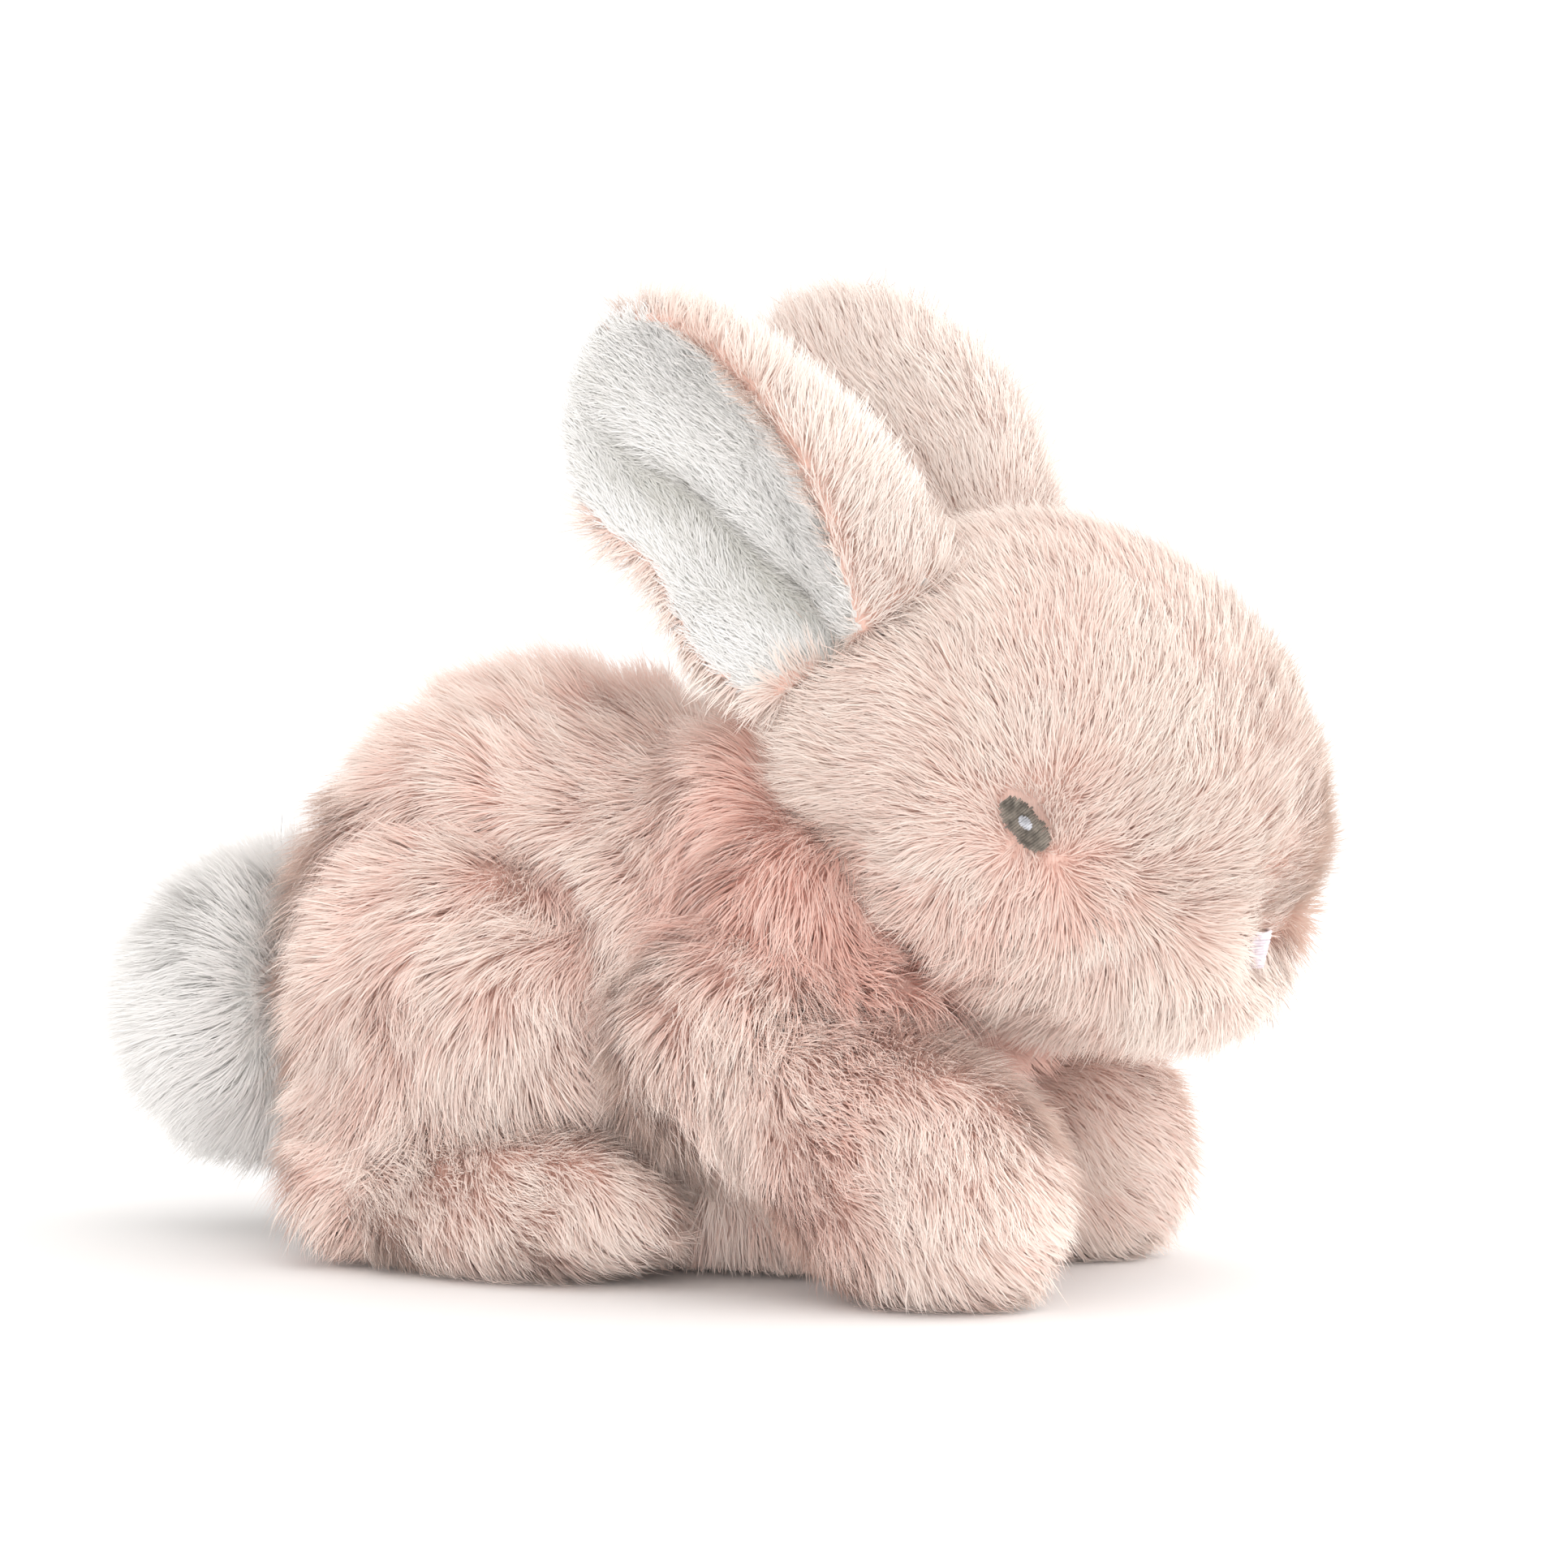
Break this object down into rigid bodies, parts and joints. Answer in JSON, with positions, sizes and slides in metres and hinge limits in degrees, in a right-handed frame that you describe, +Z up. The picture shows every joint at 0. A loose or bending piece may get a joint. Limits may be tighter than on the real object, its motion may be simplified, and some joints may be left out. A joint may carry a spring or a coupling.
{
  "type": "stuffed rabbit",
  "caption": "Small plush rabbit toy that lies on its belly with its head raised, with cupped upright ears, soft paws and a round tail.",
  "frame": {"origin": "on the floor under the middle of the toy's bounding box", "axes": "+X the way the rabbit faces, +Y its own left side, +Z up"},
  "size_m": [0.1785, 0.0808, 0.1304],
  "materials": {
    "pink_plush": "long soft plush, pale at the tips",
    "white_plush": "long fluffy plush",
    "short_white_plush": "short dense plush",
    "wadding": "soft loose fibre",
    "eye_thread": "satin stitch",
    "white_thread": "satin stitch",
    "nose_thread": "satin stitch",
    "seam_thread": "hand stitches"
  },
  "bodies": {
    "torso": {"torso_side_right": "pink_plush", "torso_side_left": "pink_plush", "belly_panel": "pink_plush", "torso_stuffing": "wadding", "haunch_right": "pink_plush", "haunch_left": "pink_plush"},
    "neck": {"neck_stuffing": "wadding", "neck_seam": "seam_thread"},
    "head": {"head_side_right": "pink_plush", "head_side_left": "pink_plush", "head_gusset": "pink_plush", "chin_panel": "pink_plush", "head_stuffing": "wadding", "eye_right": "eye_thread", "eye_left": "eye_thread", "eye_highlight_right": "white_thread", "eye_highlight_left": "white_thread", "nose": "nose_thread", "mouth": "nose_thread"},
    "ear_right": {"ear_back_right": "pink_plush", "ear_lining_right": "short_white_plush", "ear_root_right": "pink_plush"},
    "ear_left": {"ear_back_left": "pink_plush", "ear_lining_left": "short_white_plush", "ear_root_left": "pink_plush"},
    "paw_right": {"paw_cover_right": "pink_plush", "paw_stuffing_right": "wadding"},
    "paw_left": {"paw_cover_left": "pink_plush", "paw_stuffing_left": "wadding"},
    "foot_right": {"foot_cover_right": "pink_plush", "foot_stuffing_right": "wadding"},
    "foot_left": {"foot_cover_left": "pink_plush", "foot_stuffing_left": "wadding"},
    "tail": {"tail_cover": "white_plush", "tail_stuffing": "wadding", "tail_root": "seam_thread"}
  },
  "joints": [
    {"name": "neck_turn", "type": "hinge", "parent": "torso", "child": "neck", "pos_m": [0.023, 0, 0.047], "axis": [0, 0, 1], "range_deg": [-8, 8], "stiffness_Nm_per_rad": 1.2},
    {"name": "head_nod", "type": "hinge", "parent": "neck", "child": "head", "pos_m": [0.023, 0, 0.047], "axis": [0, 1, 0], "range_deg": [-10, 3], "stiffness_Nm_per_rad": 1.2},
    {"name": "ear_right_fold", "type": "hinge", "parent": "head", "child": "ear_right", "pos_m": [0.031, -0.0235, 0.087], "axis": [0.7733, -0.391, 0.4991], "range_deg": [-10, 25], "stiffness_Nm_per_rad": 0.08},
    {"name": "ear_left_fold", "type": "hinge", "parent": "head", "child": "ear_left", "pos_m": [0.031, 0.0235, 0.087], "axis": [-0.7733, -0.391, -0.4991], "range_deg": [-10, 25], "stiffness_Nm_per_rad": 0.08},
    {"name": "paw_right_lift", "type": "hinge", "parent": "torso", "child": "paw_right", "pos_m": [0.02, -0.024, 0.03], "axis": [0, -1, 0], "range_deg": [0, 5], "stiffness_Nm_per_rad": 0.4},
    {"name": "paw_left_lift", "type": "hinge", "parent": "torso", "child": "paw_left", "pos_m": [0.02, 0.024, 0.03], "axis": [0, -1, 0], "range_deg": [0, 5], "stiffness_Nm_per_rad": 0.4},
    {"name": "foot_right_lift", "type": "hinge", "parent": "torso", "child": "foot_right", "pos_m": [-0.034, -0.027, 0.012], "axis": [0, -1, 0], "range_deg": [0, 10], "stiffness_Nm_per_rad": 0.3},
    {"name": "foot_left_lift", "type": "hinge", "parent": "torso", "child": "foot_left", "pos_m": [-0.034, 0.027, 0.012], "axis": [0, -1, 0], "range_deg": [0, 10], "stiffness_Nm_per_rad": 0.3},
    {"name": "tail_wag", "type": "hinge", "parent": "torso", "child": "tail", "pos_m": [-0.062, 0, 0.032], "axis": [0, 0, 1], "range_deg": [-12, 12], "stiffness_Nm_per_rad": 0.1}
  ]
}
